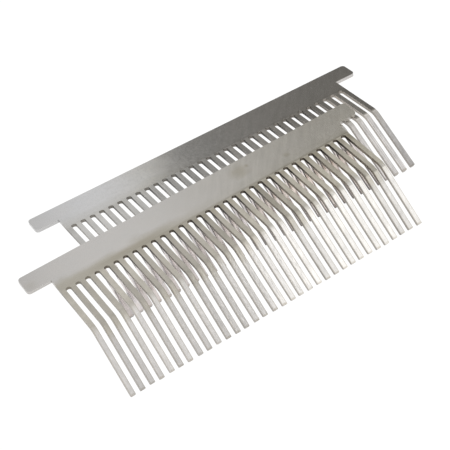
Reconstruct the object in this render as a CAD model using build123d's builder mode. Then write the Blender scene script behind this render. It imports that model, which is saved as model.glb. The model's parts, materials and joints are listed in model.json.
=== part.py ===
"""A pair of identical combs cut and bent from sheet steel, one lying over the other.

Each comb is a flat back bar with an ear at each end. A row of tines runs out of the bar in its own
plane, bends down together and ends square. The rear comb stands on its back edge and its tips. The
front comb lies over it: its bar rests on the rear comb's bends, and its tips reach the same surface.

Row frame: +X along the rear comb, tips towards -Y, +Z up, origin at the middle of the pair's box on
the surface that the combs stand on. Millimetres and degrees.
"""
from build123d import *
from math import atan2, cos, degrees, radians, sin, tan
import os

# ---------------------------------------------------------------- driving dimensions
sheet = 1.0            # thickness of the steel sheet
tine_count = 33
tine_pitch = 2.8       # from one tine to the next
tine_width = 1.35      # the slots take the rest of the pitch
slot_root = 10.2       # back edge to the closed end of the slots
root_radius = 0.65     # rounding in the corners of the slots' closed ends, which are nearly half round
bend_reach = 25.3      # back edge to the corner that the bend rounds off, on the top face
bend_angle = 33.5      # how far the tines turn down
bend_radius = 5.0      # on the outside of the bend, which is the top face
leg_length = 19.0      # corner of the bend to the tip, on the top face
ear_length = 6.7       # how far an ear stands out past the outer tine
ear_depth = 5.7        # back edge to the front of an ear
ear_radius = 1.0       # rounding of an ear's outer corners

# how the front comb lies on the rear one
front_shift_x = -12.8  # its middle, measured from the rear comb's middle
front_shift_y = -19.1
front_turn = 2.0       # seen from above, anticlockwise
front_lean = 5.35     # its bar climbs this steeply from the back edge towards the bend
front_roll = 0.19      # its left end stands this much higher than its right end

# ---------------------------------------------------------------- derived sizes
comb_length = (tine_count - 1) * tine_pitch + tine_width
overall_length = comb_length + 2 * ear_length
slot_width = tine_pitch - tine_width
bar_depth = slot_root + root_radius     # the bar takes in the rounded ends of the slots
notch_length = 3 * root_radius
bend = radians(bend_angle)

# A tine's outline seen from its side: x is the reach from the back edge, y the drop below the top face.
top_line = [
    (bar_depth, 0),
    (bend_reach, 0),
    (bend_reach + leg_length * cos(bend), leg_length * sin(bend)),
]
under_line = [
    (bar_depth, sheet),
    (bend_reach - sheet * tan(bend / 2), sheet),
    (top_line[2][0] - sheet * sin(bend), top_line[2][1] + sheet * cos(bend)),
]
tip_reach, tip_drop = under_line[2]


# ---------------------------------------------------------------- how each comb stands
def comb_plane(x, y, lean, turn=0.0, roll=0.0):
    """Plane of a comb's top face, origin at the middle of its back edge, with its tips on z = 0."""
    tilted = Plane(Rotation(0, 0, turn) * Rotation(0, roll, 0) * Rotation(-lean, 0, 0))
    ends = [(side * comb_length / 2, -tip_reach, -tip_drop) for side in (-1, 1)]
    lowest = min(tilted.from_local_coords(Vector(*end)).Z for end in ends)
    return Plane(origin=(x, y, -lowest), x_dir=tilted.x_dir, z_dir=tilted.z_dir)


# The rear comb leans so that its back edge and its tips are on the surface together.
rear_lean = degrees(atan2(tip_drop - sheet, tip_reach))


# ---------------------------------------------------------------- sub-parts
def build_back_bar(comb):
    """The flat bar between the ears, up to the line where the slots have their full width."""
    with BuildPart() as bar:
        with BuildSketch(comb):
            with Locations((0, -bar_depth / 2)):
                Rectangle(comb_length, bar_depth)
            # Each notch runs out past the bar's front edge, so only its inner corners stay rounded.
            with Locations((0, -slot_root - notch_length / 2)):
                with GridLocations(tine_pitch, 0, tine_count - 1, 1):
                    RectangleRounded(slot_width, notch_length, root_radius, mode=Mode.SUBTRACT)
        extrude(amount=-sheet)
    return bar


def build_ears(comb):
    """The ear at each end of the bar, rounded at its outer corners, which meets the bar face to face."""
    with BuildPart() as ears:
        with BuildSketch(comb):
            with Locations((0, -ear_depth / 2)):
                ear_strip = Rectangle(overall_length, ear_depth)
                fillet(ear_strip.vertices(), ear_radius)
                Rectangle(comb_length, ear_depth, mode=Mode.SUBTRACT)
        extrude(amount=-sheet)
    return ears


def build_tines(comb):
    """The row of bent tines, each a solid of its own that meets the bar face to face."""
    middle = Plane(origin=comb.origin, x_dir=-comb.y_dir, z_dir=comb.x_dir)
    first = -(tine_count - 1) / 2 * tine_pitch
    side_planes = [middle.offset(first + number * tine_pitch) for number in range(tine_count)]
    with BuildPart() as tines:
        with BuildSketch(*side_planes):
            with BuildLine():
                top = FilletPolyline(*top_line, radius=bend_radius)
                under = FilletPolyline(*under_line, radius=bend_radius - sheet)
                Line(top @ 0, under @ 0)
                Line(top @ 1, under @ 1)
            make_face()
        extrude(amount=tine_width / 2, both=True)
    return tines


rear_plane = comb_plane(0, 0, rear_lean)
front_plane = comb_plane(front_shift_x, front_shift_y, front_lean, front_turn, front_roll)

rear_bar = build_back_bar(rear_plane)
rear_ears = build_ears(rear_plane)
rear_tines = build_tines(rear_plane)
front_bar = build_back_bar(front_plane)
front_ears = build_ears(front_plane)
front_tines = build_tines(front_plane)

# ---------------------------------------------------------------- row frame and files
nodes = {
    "rear_comb_back_bar": rear_bar,
    "rear_comb_ears": rear_ears,
    "rear_comb_tines": rear_tines,
    "front_comb_back_bar": front_bar,
    "front_comb_ears": front_ears,
    "front_comb_tines": front_tines,
}
middle = Compound([node.part for node in nodes.values()]).bounding_box().center()
to_row_frame = Location((-middle.X, -middle.Y, 0))

os.makedirs("parts", exist_ok=True)
for name, node in nodes.items():
    node.part.move(to_row_frame)
    node.part.label = name
    export_step(node.part, f"parts/{name}.step")
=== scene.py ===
"""Looks of the comb pair: two sheets of brushed steel, cut, bent and laid one over the other."""
import json
import random
from math import cos, pi, radians, sin, tan
from types import SimpleNamespace

import bpy
import bmesh
from mathutils import Matrix, Quaternion, Vector


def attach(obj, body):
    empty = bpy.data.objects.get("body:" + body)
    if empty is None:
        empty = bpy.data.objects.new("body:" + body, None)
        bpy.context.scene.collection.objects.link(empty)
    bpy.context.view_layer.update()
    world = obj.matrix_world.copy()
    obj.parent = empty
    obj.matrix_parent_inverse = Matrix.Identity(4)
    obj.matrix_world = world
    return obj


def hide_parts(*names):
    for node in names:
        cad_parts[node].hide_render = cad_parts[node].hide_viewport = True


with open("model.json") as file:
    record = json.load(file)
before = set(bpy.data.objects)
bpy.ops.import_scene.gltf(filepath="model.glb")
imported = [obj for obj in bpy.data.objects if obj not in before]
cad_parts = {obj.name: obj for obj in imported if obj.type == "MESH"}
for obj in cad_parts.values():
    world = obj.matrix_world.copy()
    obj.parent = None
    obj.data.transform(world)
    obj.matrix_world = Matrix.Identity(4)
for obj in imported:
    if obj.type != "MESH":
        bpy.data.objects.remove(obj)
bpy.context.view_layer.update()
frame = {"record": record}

MM = 0.001

# ------------------------------------------------------------------ the sheet, in millimetres
SHEET = 1.0
TINE_COUNT = 33
TINE_PITCH = 2.8
TINE_WIDTH = 1.35
SLOT_ROOT = 10.2
ROOT_RADIUS = 0.65
BEND_REACH = 25.3
BEND_ANGLE = radians(33.5)
BEND_RADIUS = 5.0
LEG_LENGTH = 19.0
EAR_LENGTH = 6.7
EAR_DEPTH = 5.7
EAR_RADIUS = 1.0

COMB_LENGTH = (TINE_COUNT - 1) * TINE_PITCH + TINE_WIDTH
SLOT_START = SLOT_ROOT + ROOT_RADIUS
BEND_START = BEND_REACH - BEND_RADIUS * tan(BEND_ANGLE / 2)
BEND_END = BEND_START + BEND_RADIUS * BEND_ANGLE
SHEET_END = BEND_END + LEG_LENGTH - BEND_RADIUS * tan(BEND_ANGLE / 2)

EAR_MIDDLE = 2.7
FLAT_STEPS = 3
BEND_STEPS = 10
LEG_STEPS = 6
QUARTER_STEPS = 6
QUARTER_TURN = [k / QUARTER_STEPS * pi / 2 for k in range(QUARTER_STEPS + 1)]
EDGE_ROUNDING = 0.17
EDGE_SEGMENTS = 2
SHARP_ANGLE = radians(35)

# how far the tines stray from a perfect row, at the tip. Sway and twist are spreads, the rest are ranges.
TINE_SWAY = 0.10
TINE_SHORT = (-0.12, 0.10)
TINE_TWIST = 0.006
TINE_LIFT = (0, 0.10)
TIP_RADIUS = (0.20, 0.36)
BOW_MIDDLE = 8.0

# ------------------------------------------------------------------ what differs between the combs
# seed: of the tines' own values. It was picked by a search, of 40000 seeds for the rear comb and 60000
#     for the front one, so that light and dark tines fall roughly as in the photo. Any seed works.
# bow: sway of the middle tines. slopes: least and most that a tine's flat falls, in the shading only
# left, right: colour of the steel towards either end
# stain, tide: strength of the brown film, and of the darker line in it
# coarse: grain of the legs, which are polished at 0. covered: 1 if the other comb lies over the legs
# necks: strength of the dirt on the tines' necks at the right, then the x where the dirt and painted shade
#     on the slots' walls begin to fade
# spots: brown spots as x, distance from the back edge, radius, strength
REAR = SimpleNamespace(
    seed=24208, bow=-0.35, slopes=(0.035, 0.065), left=(0.680, 0.667, 0.655), right=(0.690, 0.658, 0.630),
    stain=0.3, tide=0.0, coarse=0.0, covered=1.0, necks=0.3, dirt_and_shade_fade_from=28.0, spots=())
FRONT = SimpleNamespace(
    seed=41940, bow=0.42, slopes=(0.015, 0.065), left=(0.688, 0.660, 0.630), right=(0.665, 0.635, 0.588),
    stain=1.0, tide=1.0, coarse=1.0, covered=0.0, necks=0.9, dirt_and_shade_fade_from=44.0,
    spots=(
        (-21.0, 8.0, 2.4, 0.7), (13.6, 4.2, 2.8, 0.8), (16.3, 3.3, 0.7, 1.0), (27.1, 6.8, 1.0, 0.75),
        (-50.5, 4.0, 1.8, 0.4)))

# ------------------------------------------------------------------ tints and levels of the steel
LEG_TINT = (1.025, 1.035, 1.06)
STEEL_SHADE = (0.95, 0.97, 0.99)
# painted light: pink tint of the legs that the other comb lies over
COVERED_TINT = (1.0, 0.955, 0.965)
# painted shade along the sides of the coarse legs and across the tips
RIM_SHADE_TINT = (0.73, 0.70, 0.65)
STAIN_TINT = (0.825, 0.805, 0.735)
TIDE_TINT = (0.70, 0.67, 0.60)
NECK_TINT = (0.74, 0.72, 0.67)
CUT_TINT = (0.50, 0.48, 0.455)
EDGE_TINT = (0.46, 0.45, 0.43)

LEG_GAIN = 1.03
# painted light and shade where the other comb lies over the legs: legs lightened, darker towards the tips,
# walls darkened, lit walls lightened
COVERED_GAIN = 1.25
LOW_LEG_GAIN = 0.85
COVERED_WALL_GAIN = 0.45
LIT_WALL_GAIN = 3.8
EAR_WALL_GAIN = 0.78
UNDERSIDE_GAIN = 1.45
# the slots' walls darkened by dirt and painted shade, in the closed ends and beside them
ROOT_DIRT_AND_SHADE_GAIN = 0.60
SIDE_DIRT_AND_SHADE_GAIN = 0.12

STREAK_STRENGTH = 0.28
CLOUD_STRENGTH = 0.14
TONE_STRENGTH = 0.26
PATCH_STRENGTH = 0.35
SPECKLE_STRENGTH = 0.25

# ------------------------------------------------------------------ patterns and places on the sheet
# noise: (cycles per millimetre along x and s), turn, detail, roughness
STREAK_ANGLE = radians(-36)
NOISES = {
    "grain": ((0.3, 7.0), 0.0, 4.0, 0.6),
    "streaks": ((0.75, 0.10), STREAK_ANGLE, 2.0, 0.5),
    "blotch": ((0.16, 0.20), 0.0, 3.0, 0.5),
    "patches": ((0.36, 0.22), 0.0, 3.0, 0.5),
    "speckle": ((1.3, 0.8), 0.0, 3.0, 0.5),
    "swell": ((0.10, 0.14), 0.0, 1.0, 0.5),
    "drawn": ((1.8, 0.08), 0.0, 2.0, 0.5),
    "clouds": ((0.09, 0.16), STREAK_ANGLE, 3.0, 0.5),
}

# Spans in x or in s, in millimetres: what is named starts at the first value and is full at the second.
# LIT and LOW_LEG are in s too, skewed along x and by each tine's tone.
COLOUR_CHANGE_X = (-20.0, 25.0)
STREAKS_X = (-12.0, 20.0)
FILM_BAND_S = (6.2, 9.6)
FILM_BAND_X = (6.0, -24.0)
FILM_END_S = (32.5, 27.0)
TIDE_X = (-10.0, -20.0)
TIDE_FADED_X = (-40.0, -28.0)
NECK_X = (-44.0, 4.0)
# dirt and painted shade of the slots' walls, along x
DIRT_AND_SHADE_X = (-48.0, -18.0)
COVERED_X = (37.0, 33.0)
LIT_START = (32.0, 33.6)
LIT_END = (37.6, 36.4)
LOW_LEG_START = (36.0, 38.5)
TINE_S = (SLOT_ROOT, SLOT_ROOT + 1.0)
BEND_S = (BEND_START, BEND_END)
CUT_S = (EAR_DEPTH + 1.0, EAR_DEPTH + 3.0)
NECK_START_S = (SLOT_ROOT - 0.9, SLOT_ROOT)
NECK_END_S = (SLOT_ROOT + 5.0, SLOT_ROOT)
BESIDE_ROOT_S = (SLOT_ROOT + 0.35, SLOT_ROOT + 0.65)
# dirt and painted shade beside the slots' closed ends, along s
SIDE_DIRT_AND_SHADE_S = (SLOT_ROOT + 1.0, SLOT_ROOT + 10.0)
COVERED_LEG_S = (BEND_END - 1.0, BEND_END + 2.0)
COVERED_WALL_S = (BEND_START, BEND_START + 2.0)
TIP_S = (SHEET_END - 0.7, SHEET_END - 0.25)
# the same, as shares of the sheet's thickness and of a tine's half width
WALL_OFF_MIDDLE = (0.5, 0.42)
UNDERSIDE_DEPTH = (0.4, 0.6)
RIM_ACROSS = (0.55, 0.95)
# and as values of a noise, with what it gives at either end
RIM_PATCHES = (0.3, 0.6, 0.5, 1.0)
ROUGH_GRAIN = (0.3, 0.7, 0.09, 0.15)
ROUGH_SPECKLE = (0.35, 0.7, 0.0, 0.04)

# how far outlines wander, where things lie and how strong they are at their weakest
FILM_RAGGED = 4.0
FILM_LEAST = 0.25
FILM_END_STRAY = 5.0
SPOT_RAGGED = 0.4
SPOT_REACH = 1.4
TIDE_S = 9.2
TIDE_HALF_WIDTH = 1.5
TIDE_RAGGED = 0.3
TIDE_STRENGTH = 0.5
TIDE_FADED = 0.3
NECK_LEAST = 0.2
# dirt and painted shade of the slots' walls: its weakest level along x, and the x over which it fades
DIRT_AND_SHADE_LEAST = 0.45
DIRT_AND_SHADE_END = 15.0
CROSSING_SKEW = 0.04
CROSSING_STRAY = 1.2

# roughness that cuts add, and what polish leaves of it. Heights of the bumps, in millimetres.
ROUGH_CUT = 0.15
POLISHED = 0.75
GRAIN_BUMP = 0.08
SWELL_HEIGHT = 0.03
DRAWN_HEIGHT = 0.010
SPECKLE_HEIGHT = 0.02
GRAIN_HEIGHT = 0.01

# ------------------------------------------------------------------ stage, in metres
FLOOR_HALF = 1.5
FLOOR_Z = -0.0002
FLOOR_COLOUR = (0.4, 0.4, 0.4, 1)
FLOOR_ROUGHNESS = 0.9
FLOOR_WHITE = 1.05
FLOOR_GLOW = 0.75

# ------------------------------------------------------------------ light of the studio
STUDIO_LIGHT = 1.6
WARM_RED = 0.3
# Panels of light from one side to the other: (x of the direction, level, warmth).
LOWEST_PANEL = (
    (0.19, 0.66, 0.01), (0.225, 0.81, -0.01), (0.246, 0.88, -0.02), (0.270, 0.86, -0.01),
    (0.286, 0.74, 0.04), (0.299, 0.78, 0.09), (0.3055, 0.76, 0.09), (0.3075, 0.14, 0.03),
    (0.318, 0.26, 0.03), (0.332, 0.25, 0.04), (0.37, 0.235, 0.05), (0.45, 0.18, 0.07))
# The panels over it: (rise in degrees where it starts, where it is full, its lights).
HIGHER_PANELS = (
    (25.5, 29.5, (
        (0.165, 0.70, 0.0), (0.20, 0.84, 0.0), (0.265, 0.84, 0.0), (0.30, 0.62, 0.01), (0.34, 0.36, 0.02),
        (0.385, 0.36, 0.03), (0.405, 0.24, 0.04), (0.424, 0.17, 0.05), (0.437, 0.32, 0.05),
        (0.449, 0.17, 0.05))),
    (34, 39, (
        (0.165, 0.62, 0.0), (0.20, 0.77, 0.0), (0.265, 0.77, 0.0), (0.34, 0.63, 0.02), (0.41, 0.43, 0.06),
        (0.45, 0.40, 0.08), (0.50, 0.40, 0.05), (0.54, 1.0, 0.0))),
    (44.5, 49, (
        (0.20, 0.80, 0.0), (0.30, 0.82, 0.0), (0.35, 0.84, 0.0), (0.46, 0.78, 0.02), (0.52, 1.3, 0.0))),
    (53, 62, (
        (0.20, 0.74, 0.0), (0.35, 0.76, 0.0), (0.45, 0.74, 0.02))),
    (66, 92, (
        (0.20, 0.80, 0.0), (0.34, 0.85, 0.0), (0.375, 1.15, 0.0), (0.43, 1.2, 0.0), (0.440, 0.80, 0.0),
        (0.454, 0.78, 0.0), (0.463, 0.62, 0.0))),
    (97, 106, (
        (0.235, 0.82, 0.0), (0.268, 0.82, 0.0), (0.278, 1.0, 0.0), (0.30, 0.95, 0.0), (0.319, 0.88, 0.0),
        (0.327, 0.60, 0.01), (0.342, 0.58, 0.01), (0.352, 0.98, 0.0), (0.37, 1.22, 0.0), (0.40, 1.32, 0.0),
        (0.438, 1.55, 0.0), (0.452, 1.25, 0.0), (0.463, 1.25, 0.0), (0.473, 0.90, 0.0), (0.483, 1.25, 0.0))),
    (124, 138, (
        (0.20, 1.05, -0.02), (0.50, 1.05, -0.02))),
)

# ------------------------------------------------------------------ camera, in millimetres
SENSOR_WIDTH = 36.0
LENS = 102.858
CAMERA_AT = (-114.54, -181.27, 266.44)
CAMERA_AIM = (-4.635, -2.337, 5.0)
CAMERA_ROLL = radians(-2.026)
CAMERA_CLIP_M = (0.01, 10)


# ------------------------------------------------------------------ flat pattern
def spread(start, end, steps):
    """Places from start to end in equal steps, with both ends."""
    return [start + (end - start) * k / steps for k in range(steps + 1)]


def drift(sway, s):
    """How far a tine that sways is off its place at s."""
    return sway * (max(s - SLOT_START, 0) / (SHEET_END - SLOT_START)) ** 2


def tine_rows(centre, inner_left, inner_right, sway, short, tip_radius):
    """(s, left x, right x) down one tine. s runs from the back edge along the top of the sheet."""
    half = TINE_WIDTH / 2
    rows = []
    for a in QUARTER_TURN:
        flare = ROOT_RADIUS * (1 - sin(a))
        s = SLOT_ROOT + ROOT_RADIUS * (1 - cos(a))
        rows.append((s, half + flare * inner_left, half + flare * inner_right))
    tip_start = SHEET_END - short - tip_radius
    straight = spread(SLOT_START, BEND_START, FLAT_STEPS)[1:-1]
    straight += spread(BEND_START, BEND_END, BEND_STEPS)
    straight += spread(BEND_END, tip_start, LEG_STEPS)[1:-1]
    rows += [(s, half, half) for s in straight]
    for a in QUARTER_TURN:
        inset = tip_radius * (1 - cos(a))
        rows.append((tip_start + tip_radius * sin(a), half - inset, half - inset))
    return [(s, centre - left + drift(sway, s), centre + right + drift(sway, s)) for s, left, right in rows]


def ear_columns(side):
    """(x, low s, high s) from the bar's end out to the ear's end."""
    inner, outer = COMB_LENGTH / 2, COMB_LENGTH / 2 + EAR_LENGTH
    columns = [(side * inner, 0.0, EAR_DEPTH), (side * (inner + EAR_MIDDLE), 0.0, EAR_DEPTH)]
    for a in QUARTER_TURN:
        inset = EAR_RADIUS * (1 - cos(a))
        columns.append((side * (outer - EAR_RADIUS + EAR_RADIUS * sin(a)), inset, EAR_DEPTH - inset))
    return columns


def draw_tine(rng, centre, traits):
    """A tine's own values. bow sways those near the middle of the row most."""
    bow = traits.bow * cos((centre - BOW_MIDDLE) / COMB_LENGTH * pi) ** 2
    return SimpleNamespace(
        centre=centre,
        sway=rng.gauss(0, TINE_SWAY) + bow,
        short=rng.uniform(*TINE_SHORT),
        twist=rng.gauss(0, TINE_TWIST),
        lift=rng.uniform(*TINE_LIFT),
        tone=rng.random(),
        slope=rng.uniform(*traits.slopes),
        tip_radius=rng.uniform(*TIP_RADIUS),
    )


def flat_pattern(traits):
    """Quads of (x, s) that cover the flat sheet, each with its tine or None, and the tines."""
    rng = random.Random(traits.seed)
    first = -(TINE_COUNT - 1) / 2 * TINE_PITCH
    quads, bar_x = [], []
    for i in range(TINE_COUNT):
        tine = draw_tine(rng, first + i * TINE_PITCH, traits)
        rows = tine_rows(tine.centre, i > 0, i < TINE_COUNT - 1, tine.sway, tine.short, tine.tip_radius)
        bar_x += rows[0][1:]
        for (s0, l0, r0), (s1, l1, r1) in zip(rows, rows[1:]):
            quads.append(([(l0, s0), (l1, s1), (r1, s1), (r0, s0)], tine))
    for x0, x1 in zip(bar_x, bar_x[1:]):
        for s0, s1 in ((0.0, EAR_DEPTH), (EAR_DEPTH, SLOT_ROOT)):
            quads.append(([(x0, s0), (x0, s1), (x1, s1), (x1, s0)], None))
    for side in (-1, 1):
        columns = ear_columns(side)
        for (x0, a0, b0), (x1, a1, b1) in zip(columns, columns[1:]):
            quads.append(([(x0, a0), (x0, b0), (x1, b1), (x1, a1)], None))
    return quads


# ------------------------------------------------------------------ bent sheet
def bent(s, depth):
    """Reach and height of a point of the sheet, depth below its top face."""
    if s <= BEND_START:
        return s, -depth
    turn = min(s - BEND_START, BEND_RADIUS * BEND_ANGLE) / BEND_RADIUS
    reach = BEND_START + (BEND_RADIUS - depth) * sin(turn)
    height = -BEND_RADIUS + (BEND_RADIUS - depth) * cos(turn)
    run = max(s - BEND_END, 0)
    return reach + run * cos(turn), height - run * sin(turn)


def place(x, s, depth, tine):
    """A point of the sheet in the comb's own frame: x along it, tips to -y, z up from the bar."""
    reach, height = bent(s, depth)
    if tine:
        along = (max(s - SLOT_ROOT, 0) / (SHEET_END - SLOT_ROOT)) ** 2
        across = (x - tine.centre) / (TINE_WIDTH / 2)
        height += along * (tine.lift + tine.twist * across)
    return x, -reach, height


def sheet_layers(bm):
    """What each vertex tells the material, and whether a face is on a rounded rim."""
    values = bm.verts.layers
    return SimpleNamespace(
        where=values.float_vector.new("on_sheet"),
        tone=values.float.new("tine_tone"),
        slope=values.float.new("tine_slope"),
        across=values.float.new("tine_across"),
        edge_line=bm.faces.layers.float.new("edge_line"),
    )


def new_vert(bm, layers, x, s, depth, tine):
    v = bm.verts.new(place(x, s, depth, tine))
    v[layers.where] = (x, s, depth)
    v[layers.tone] = tine.tone if tine else 0.5
    v[layers.slope] = -tine.slope if tine else 0.0
    if tine:
        v[layers.across] = (x - tine.centre - drift(tine.sway, s)) / (TINE_WIDTH / 2)
    return v


def close_sheet(bm, layers, quads):
    """Top and underside of each quad, and walls along the outline. The walls' long edges are tagged."""
    verts = {}

    def vert(point, depth, tine):
        key = (round(point[0], 4), round(point[1], 4), depth)
        if key not in verts:
            verts[key] = new_vert(bm, layers, *point, depth, tine)
        return verts[key]

    sides = {}
    for points, tine in quads:
        top = [vert(p, 0.0, tine) for p in points]
        low = [vert(p, SHEET, tine) for p in points]
        bm.faces.new(top)
        bm.faces.new(low[::-1])
        for a in range(4):
            b = (a + 1) % 4
            edge = frozenset((top[a], top[b]))
            # a side that two quads share has no wall
            sides[edge] = None if edge in sides else (top[a], low[a], low[b], top[b])
    for wall in filter(None, sides.values()):
        for edge in bm.faces.new(wall).edges:
            edge.tag = edge.verts[0][layers.where][2] == edge.verts[1][layers.where][2]
    bmesh.ops.recalc_face_normals(bm, faces=bm.faces[:])


def round_edges(bm, edge_line):
    """Rounds the rims of both faces. The rounding is marked as edge line, and is sharp against flats."""
    rims = [e for e in bm.edges if e.tag]
    rounding = bmesh.ops.bevel(
        bm, geom=rims, offset=EDGE_ROUNDING, segments=EDGE_SEGMENTS, profile=0.5,
        affect="EDGES", clamp_overlap=True)
    rounded = set(rounding["faces"])
    for face in bm.faces:
        face.smooth = True
        face[edge_line] = 1.0 if face in rounded else 0.0
    for edge in bm.edges:
        kinds = {face in rounded for face in edge.link_faces}
        if len(kinds) == 2 or edge.calc_face_angle(0) > SHARP_ANGLE:
            edge.smooth = False


def comb_mesh(name, matrix, traits):
    bm = bmesh.new()
    layers = sheet_layers(bm)
    close_sheet(bm, layers, flat_pattern(traits))
    round_edges(bm, layers.edge_line)
    bmesh.ops.transform(bm, matrix=matrix @ Matrix.Scale(MM, 4), verts=bm.verts[:])
    mesh = bpy.data.meshes.new(name)
    bm.to_mesh(mesh)
    bm.free()
    return mesh


# ------------------------------------------------------------------ nodes
def new_tree(owner):
    owner.use_nodes = True
    owner.node_tree.nodes.clear()
    return owner.node_tree


def feed(tree, socket, value):
    """Links a socket to another, or sets its value."""
    if isinstance(value, bpy.types.NodeSocket):
        tree.links.new(value, socket)
    else:
        socket.default_value = value


def node(tree, kind, **values):
    """A node with its inputs or properties set by name, underscores for spaces."""
    n = tree.nodes.new(kind)
    for key, value in values.items():
        name = key.replace("_", " ")
        if name in n.inputs:
            feed(tree, n.inputs[name], value)
        else:
            setattr(n, key, value)
    return n


def ramp(tree, value, low, high, to_low=0.0, to_high=1.0):
    """to_low at low, to_high at high, smooth between. Both may be sockets."""
    n = node(
        tree, "ShaderNodeMapRange", Value=value, From_Min=low, From_Max=high, To_Min=to_low, To_Max=to_high)
    n.interpolation_type = "SMOOTHSTEP"
    return n.outputs[0]


def maths(tree, operation, *values):
    """One operation on the values, from left to right if it takes two at a time."""
    result, *others = values
    for other in others or [None]:
        n = node(tree, "ShaderNodeMath", operation=operation)
        feed(tree, n.inputs[0], result)
        if other is not None:
            feed(tree, n.inputs[1], other)
        result = n.outputs[0]
    return result


def rest_of(tree, part):
    """1 where a part isn't."""
    return maths(tree, "SUBTRACT", 1.0, part)


def blend(tree, factor, a, b, kind="MIX"):
    """Colour a, changed to or multiplied by colour b as far as factor says."""
    n = node(tree, "ShaderNodeMix", data_type="RGBA", blend_type=kind)
    for socket, value in ((n.inputs[0], factor), (n.inputs[6], a), (n.inputs[7], b)):
        feed(tree, socket, (*value, 1) if isinstance(value, tuple) else value)
    return n.outputs[2]


def noise(tree, vector, scale, turn, detail, roughness):
    """Noise over the sheet, in cycles per millimetre along x and s, turned by an angle in its plane."""
    placed = node(tree, "ShaderNodeVectorRotate", Vector=vector, Angle=turn)
    placed = node(tree, "ShaderNodeMapping", Vector=placed.outputs[0], Scale=(*scale, 1.0))
    return node(
        tree, "ShaderNodeTexNoise", Vector=placed.outputs[0], Scale=1.0, Detail=detail,
        Roughness=roughness).outputs[0]


# ------------------------------------------------------------------ material
def sheet_values(tree):
    """What the mesh tells: the place on the flat sheet, the tine's own values, and the rounded rims."""
    def told(name):
        return node(tree, "ShaderNodeAttribute", attribute_name=name).outputs

    where = told("on_sheet")["Vector"]
    x, s, depth = node(tree, "ShaderNodeSeparateXYZ", Vector=where).outputs
    return SimpleNamespace(
        where=where, x=x, s=s, depth=depth, tone=told("tine_tone")["Fac"], slope=told("tine_slope")["Fac"],
        across=told("tine_across")["Fac"], edge=told("edge_line")["Fac"])


def sheet_parts(tree, at, traits):
    """How far each point is on a part of the sheet, from 0 to 1."""
    from_middle = maths(tree, "ABSOLUTE", maths(tree, "SUBTRACT", at.depth, SHEET / 2))
    wall = ramp(tree, from_middle, *(SHEET * share for share in WALL_OFF_MIDDLE))
    cut = maths(tree, "MULTIPLY", wall, ramp(tree, at.s, *CUT_S))
    lower_half = ramp(tree, at.depth, *(SHEET * share for share in UNDERSIDE_DEPTH))
    underside = maths(tree, "MULTIPLY", rest_of(tree, wall), lower_half)
    return SimpleNamespace(
        on_tine=ramp(tree, at.s, *TINE_S),
        on_leg=ramp(tree, at.s, *BEND_S, 0.0, traits.coarse),
        wall=wall, cut=cut, underside=underside,
        ear_wall=maths(tree, "SUBTRACT", wall, cut),
        top=rest_of(tree, maths(tree, "MAXIMUM", wall, underside)))


def spot(tree, where, x, s, across, strength, ragged):
    """A soft blot on the sheet, as strong as told in its middle, with a ragged outline."""
    away = node(tree, "ShaderNodeVectorMath", operation="DISTANCE")
    feed(tree, away.inputs[0], where)
    feed(tree, away.inputs[1], (x, s, 0))
    stray = maths(tree, "MULTIPLY", ragged, across * SPOT_RAGGED)
    ragged_away = maths(tree, "ADD", away.outputs["Value"], stray)
    return ramp(tree, ragged_away, across * SPOT_REACH, 0.0, 0.0, strength)


def brown_film(tree, at, part, ragged, traits):
    """A film in a band along the slots' closed ends, on the flat of the tines and in spots."""
    wavy = maths(tree, "ADD", at.s, ragged)
    leftward = maths(tree, "ADD", ramp(tree, at.x, *FILM_BAND_X), FILM_LEAST)
    band = maths(tree, "MULTIPLY", ramp(tree, wavy, *FILM_BAND_S), leftward)
    film_end = maths(tree, "ADD", wavy, maths(tree, "MULTIPLY", at.tone, FILM_END_STRAY))
    film = maths(
        tree, "MULTIPLY", maths(tree, "MAXIMUM", band, part.on_tine), ramp(tree, film_end, *FILM_END_S))
    for x, s, across, strength in traits.spots:
        film = maths(tree, "MAXIMUM", film, spot(tree, at.where, x, s, across, strength, ragged))
    return maths(tree, "MULTIPLY", film, traits.stain, rest_of(tree, part.underside))


def tide_line(tree, at, part, ragged, traits):
    """A darker line in a part of the film's band."""
    off_line = maths(tree, "ABSOLUTE", maths(tree, "SUBTRACT", at.s, TIDE_S))
    off_line = maths(tree, "ADD", off_line, maths(tree, "MULTIPLY", ragged, TIDE_RAGGED))
    return maths(
        tree, "MULTIPLY", ramp(tree, off_line, TIDE_HALF_WIDTH, 0.0, 0.0, TIDE_STRENGTH * traits.tide),
        ramp(tree, at.x, *TIDE_X), ramp(tree, at.x, *TIDE_FADED_X, TIDE_FADED, 1.0), part.top)


def dirty_necks(tree, at, traits):
    """Dirt about the necks of the tines."""
    return maths(
        tree, "MULTIPLY", ramp(tree, at.s, *NECK_START_S), ramp(tree, at.s, *NECK_END_S),
        ramp(tree, at.x, *NECK_X, NECK_LEAST, traits.necks))


def shaded_rims(tree, at, part, patches):
    """Painted shade: darker lines along the sides of the coarse legs, and across the tips."""
    off_middle = maths(tree, "ABSOLUTE", at.across)
    sides = maths(tree, "MULTIPLY", ramp(tree, off_middle, *RIM_ACROSS), part.on_leg)
    rims = maths(tree, "MAXIMUM", sides, ramp(tree, at.s, *TIP_S))
    return maths(tree, "MULTIPLY", rims, part.top, ramp(tree, patches, *RIM_PATCHES))


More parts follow.
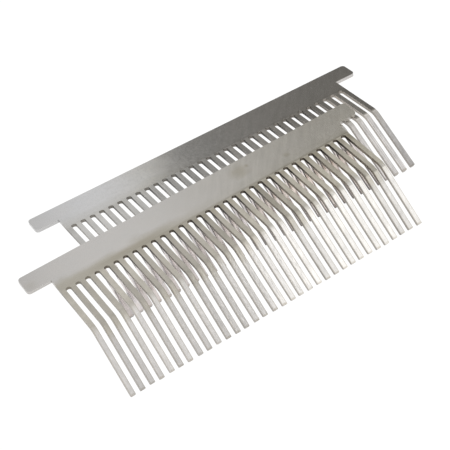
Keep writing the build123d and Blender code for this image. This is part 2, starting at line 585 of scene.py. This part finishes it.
def slot_dirt_and_shade(tree, at, part, traits):
    """Where the slots' walls are darkened, and the level there: dirt and painted shade together.

    The darkening is even in the closed ends, thickest beside them, and gone before the bend.
    """
    beside = ramp(tree, at.s, *BESIDE_ROOT_S)
    further = ramp(tree, at.s, *SIDE_DIRT_AND_SHADE_S, SIDE_DIRT_AND_SHADE_GAIN, 1.0)
    level = node(tree, "ShaderNodeMix", Factor=beside, A=ROOT_DIRT_AND_SHADE_GAIN, B=further).outputs[0]
    dirt_and_shade = maths(
        tree, "MULTIPLY", ramp(tree, at.x, *DIRT_AND_SHADE_X, DIRT_AND_SHADE_LEAST, 1.0),
        ramp(tree, at.x, traits.dirt_and_shade_fade_from + DIRT_AND_SHADE_END, traits.dirt_and_shade_fade_from))
    return maths(tree, "MULTIPLY", part.cut, dirt_and_shade), level


def covered_legs(tree, at, part, traits):
    """The legs that the other comb lies over, and their walls, which shine where its slots let light in.

    These masks carry painted light and shade: the legs lightened and tinted, darker towards their tips,
    their walls darkened and lit walls lightened. This stands in for light that passes between the combs, and
    is painted for the combs at rest.
    """
    legs = maths(
        tree, "MULTIPLY", ramp(tree, at.s, *COVERED_LEG_S),
        ramp(tree, at.x, *COVERED_X, 0.0, traits.covered))
    walls = maths(
        tree, "MULTIPLY", part.cut, ramp(tree, at.s, *COVERED_WALL_S, 0.0, traits.covered),
        ramp(tree, at.x, *COVERED_X))
    crossing = maths(
        tree, "ADD", at.s, maths(tree, "MULTIPLY", at.x, CROSSING_SKEW),
        maths(tree, "MULTIPLY", at.tone, CROSSING_STRAY))
    lit = maths(tree, "MULTIPLY", ramp(tree, crossing, *LIT_START), ramp(tree, crossing, *LIT_END))
    return SimpleNamespace(
        legs=legs, walls=walls, lit_walls=maths(tree, "MULTIPLY", walls, lit),
        low_legs=maths(tree, "MULTIPLY", legs, ramp(tree, crossing, *LOW_LEG_START)))


def sheet_colour(tree, at, part, noises, covered, traits):
    """The steel's colour with all that stains it."""
    ragged = maths(tree, "MULTIPLY", maths(tree, "SUBTRACT", noises.blotch, 0.5), FILM_RAGGED)
    rightward = ramp(tree, at.x, *COLOUR_CHANGE_X)
    colour = blend(tree, rightward, traits.left, traits.right)
    for mask, tint in (
            (maths(tree, "MULTIPLY", part.on_leg, rightward), LEG_TINT),
            (noises.blotch, STEEL_SHADE),
            (covered.legs, COVERED_TINT),
            (shaded_rims(tree, at, part, noises.patches), RIM_SHADE_TINT),
            (brown_film(tree, at, part, ragged, traits), STAIN_TINT),
            (tide_line(tree, at, part, ragged, traits), TIDE_TINT),
            (dirty_necks(tree, at, traits), NECK_TINT),
            (part.cut, CUT_TINT),
            (at.edge, EDGE_TINT)):
        colour = blend(tree, mask, colour, tint, "MULTIPLY")
    return colour


def sheet_gain(tree, at, part, noises, covered, traits):
    """How much lighter or darker than its colour each point is."""
    streaked = ramp(tree, at.x, *STREAKS_X)
    dirt_and_shade, dirt_and_shade_level = slot_dirt_and_shade(tree, at, part, traits)
    gain = 1.0
    for pattern, where_strong, strength in (
            (noises.streaks, streaked, STREAK_STRENGTH), (noises.clouds, streaked, CLOUD_STRENGTH),
            (at.tone, part.on_tine, TONE_STRENGTH), (noises.patches, part.on_tine, PATCH_STRENGTH),
            (noises.speckle, part.on_tine, SPECKLE_STRENGTH)):
        change = maths(
            tree, "MULTIPLY", maths(tree, "SUBTRACT", pattern, 0.5),
            maths(tree, "MULTIPLY", where_strong, strength))
        gain = maths(tree, "MULTIPLY", gain, maths(tree, "ADD", 1.0, change))
    for mask, level in (
            (dirt_and_shade, dirt_and_shade_level), (part.on_leg, LEG_GAIN), (covered.legs, COVERED_GAIN),
            (covered.low_legs, LOW_LEG_GAIN), (covered.walls, COVERED_WALL_GAIN),
            (covered.lit_walls, LIT_WALL_GAIN), (part.ear_wall, EAR_WALL_GAIN),
            (part.underside, UNDERSIDE_GAIN)):
        gain = maths(tree, "MULTIPLY", gain, ramp(tree, mask, 0.0, 1.0, 1.0, level))
    return gain


def sheet_roughness(tree, at, part, noises, traits):
    """Rough along the grain and at the cuts, less so on polished legs and the underside."""
    cuts = maths(tree, "MAXIMUM", part.wall, at.edge)
    rough = maths(
        tree, "ADD", ramp(tree, noises.grain, *ROUGH_GRAIN), ramp(tree, noises.speckle, *ROUGH_SPECKLE),
        maths(tree, "MULTIPLY", cuts, ROUGH_CUT))
    polished_leg = ramp(tree, at.s, *BEND_S, 0.0, 1 - traits.coarse)
    polish = maths(tree, "MAXIMUM", polished_leg, part.underside)
    return maths(tree, "MULTIPLY", rough, ramp(tree, polish, 0.0, 1.0, 1.0, POLISHED))


def sheet_relief(tree, at, part, noises):
    """Bumps. The tines' flats seem to slope a little more than the bar does, each by its own angle."""
    along = node(tree, "ShaderNodeClamp", Value=at.s, Min=SLOT_ROOT, Max=BEND_START).outputs[0]
    fall = maths(tree, "MULTIPLY", maths(tree, "SUBTRACT", along, SLOT_ROOT), at.slope)
    relief = None
    for height, strength, distance in (
            (fall, 1.0, MM), (noises.swell, 1.0, SWELL_HEIGHT * MM),
            (noises.drawn, part.on_tine, DRAWN_HEIGHT * MM),
            (noises.speckle, part.on_leg, SPECKLE_HEIGHT * MM),
            (noises.grain, GRAIN_BUMP, GRAIN_HEIGHT * MM)):
        bump = node(tree, "ShaderNodeBump", Height=height, Strength=strength, Distance=distance)
        if relief:
            tree.links.new(relief, bump.inputs["Normal"])
        relief = bump.outputs[0]
    return relief


def steel(name, traits):
    """Ground stainless sheet, stained and worn as one comb is."""
    mat = bpy.data.materials.new(name)
    tree = new_tree(mat)
    at = sheet_values(tree)
    noises = SimpleNamespace(**{key: noise(tree, at.where, *values) for key, values in NOISES.items()})
    part = sheet_parts(tree, at, traits)
    covered = covered_legs(tree, at, part, traits)
    scaled = node(
        tree, "ShaderNodeVectorMath", operation="SCALE",
        Vector=sheet_colour(tree, at, part, noises, covered, traits),
        Scale=sheet_gain(tree, at, part, noises, covered, traits))
    shader = node(
        tree, "ShaderNodeBsdfPrincipled", Metallic=1.0, Base_Color=scaled.outputs[0],
        Roughness=sheet_roughness(tree, at, part, noises, traits),
        Normal=sheet_relief(tree, at, part, noises))
    node(tree, "ShaderNodeOutputMaterial", Surface=shader.outputs[0])
    return mat


# ------------------------------------------------------------------ the two combs
def mount(name):
    """Place and direction of a mount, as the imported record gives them."""
    found = next(m for m in frame["record"]["mounts"] if m["name"] == name)
    return Vector(found["pos_m"]), Vector(found["axis"])


def comb_frame(comb):
    """Matrix of a comb's own frame: origin at the middle of the back edge, on the bar's top face."""
    seat, up = mount(f"{comb}_bar_top")
    _, along = mount(f"{comb}_right_ear")
    up.normalize()
    along = (along - up * along.dot(up)).normalized()
    back = up.cross(along)
    matrix = Matrix((along, back, up)).transposed().to_4x4()
    matrix.translation = seat + back * (SLOT_ROOT / 2 * MM)
    return matrix


def build_comb(comb, traits):
    """One comb as a single sheet, in place of its three nodes."""
    name = f"{comb}_comb_sheet"
    piece = bpy.data.objects.new(name, comb_mesh(name, comb_frame(comb), traits))
    bpy.context.scene.collection.objects.link(piece)
    piece.data.materials.append(steel(f"{comb}_steel", traits))
    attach(piece, f"{comb}_comb")
    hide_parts(f"{comb}_comb_back_bar", f"{comb}_comb_ears", f"{comb}_comb_tines")


# ------------------------------------------------------------------ stage
def build_floor():
    """A pale floor. The camera sees it as plain white, and the steel reflects it as it is lit."""
    mat = bpy.data.materials.new("pale_floor")
    tree = new_tree(mat)
    lit = node(
        tree, "ShaderNodeBsdfPrincipled", Base_Color=FLOOR_COLOUR, Roughness=FLOOR_ROUGHNESS,
        Emission_Color=(1, 1, 1, 1), Emission_Strength=FLOOR_GLOW)
    white = node(tree, "ShaderNodeEmission", Strength=FLOOR_WHITE)
    seen = node(tree, "ShaderNodeLightPath").outputs["Is Camera Ray"]
    mix = node(tree, "ShaderNodeMixShader")
    for socket, value in zip(mix.inputs, (seen, lit.outputs[0], white.outputs[0])):
        feed(tree, socket, value)
    node(tree, "ShaderNodeOutputMaterial", Surface=mix.outputs[0])
    corners = [(x * FLOOR_HALF, y * FLOOR_HALF, FLOOR_Z) for x, y in ((-1, -1), (1, -1), (1, 1), (-1, 1))]
    mesh = bpy.data.meshes.new("floor")
    mesh.from_pydata(corners, [], [(0, 1, 2, 3)])
    mesh.materials.append(mat)
    ground = bpy.data.objects.new("floor", mesh)
    bpy.context.scene.collection.objects.link(ground)


def panel(tree, x, stops):
    """Light from one side of the studio to the other: (x of the direction, level, warmth)."""
    n = node(tree, "ShaderNodeValToRGB", Fac=x)
    elements = n.color_ramp.elements
    while len(elements) < len(stops):
        elements.new(1.0)
    for element, (position, level, warmth) in zip(elements, stops):
        element.position = position
        light = level / STUDIO_LIGHT
        element.color = (light * (1 + warmth * WARM_RED), light, light * (1 - warmth), 1)
    return n.outputs[0]


def build_studio():
    """Soft panels all round, as smooth changes of the world's light with direction."""
    world = bpy.data.worlds.new("soft_studio")
    bpy.context.scene.world = world
    tree = new_tree(world)
    coord = node(tree, "ShaderNodeTexCoord").outputs["Generated"]
    x, y, z = node(tree, "ShaderNodeSeparateXYZ", Vector=coord).outputs
    rise = maths(tree, "ARCTAN2", z, y)
    light = panel(tree, x, LOWEST_PANEL)
    for start, full, stops in HIGHER_PANELS:
        higher = ramp(tree, rise, radians(start), radians(full))
        light = blend(tree, higher, light, panel(tree, x, stops))
    source = node(tree, "ShaderNodeBackground", Color=light, Strength=STUDIO_LIGHT)
    node(tree, "ShaderNodeOutputWorld", Surface=source.outputs[0])


def build_camera():
    data = bpy.data.cameras.new("camera")
    data.sensor_width = SENSOR_WIDTH
    data.lens = LENS
    data.clip_start, data.clip_end = CAMERA_CLIP_M
    cam = bpy.data.objects.new("camera", data)
    bpy.context.scene.collection.objects.link(cam)
    level = (Vector(CAMERA_AIM) - Vector(CAMERA_AT)).to_track_quat("-Z", "Y")
    cam.rotation_mode = "QUATERNION"
    cam.location = Vector(CAMERA_AT) * MM
    cam.rotation_quaternion = level @ Quaternion((0, 0, 1), CAMERA_ROLL)
    bpy.context.scene.camera = cam


# ------------------------------------------------------------------ everything
build_comb("rear", REAR)
build_comb("front", FRONT)
build_floor()
build_studio()
build_camera()
bpy.context.scene.view_settings.view_transform = "Standard"
bpy.context.view_layer.update()
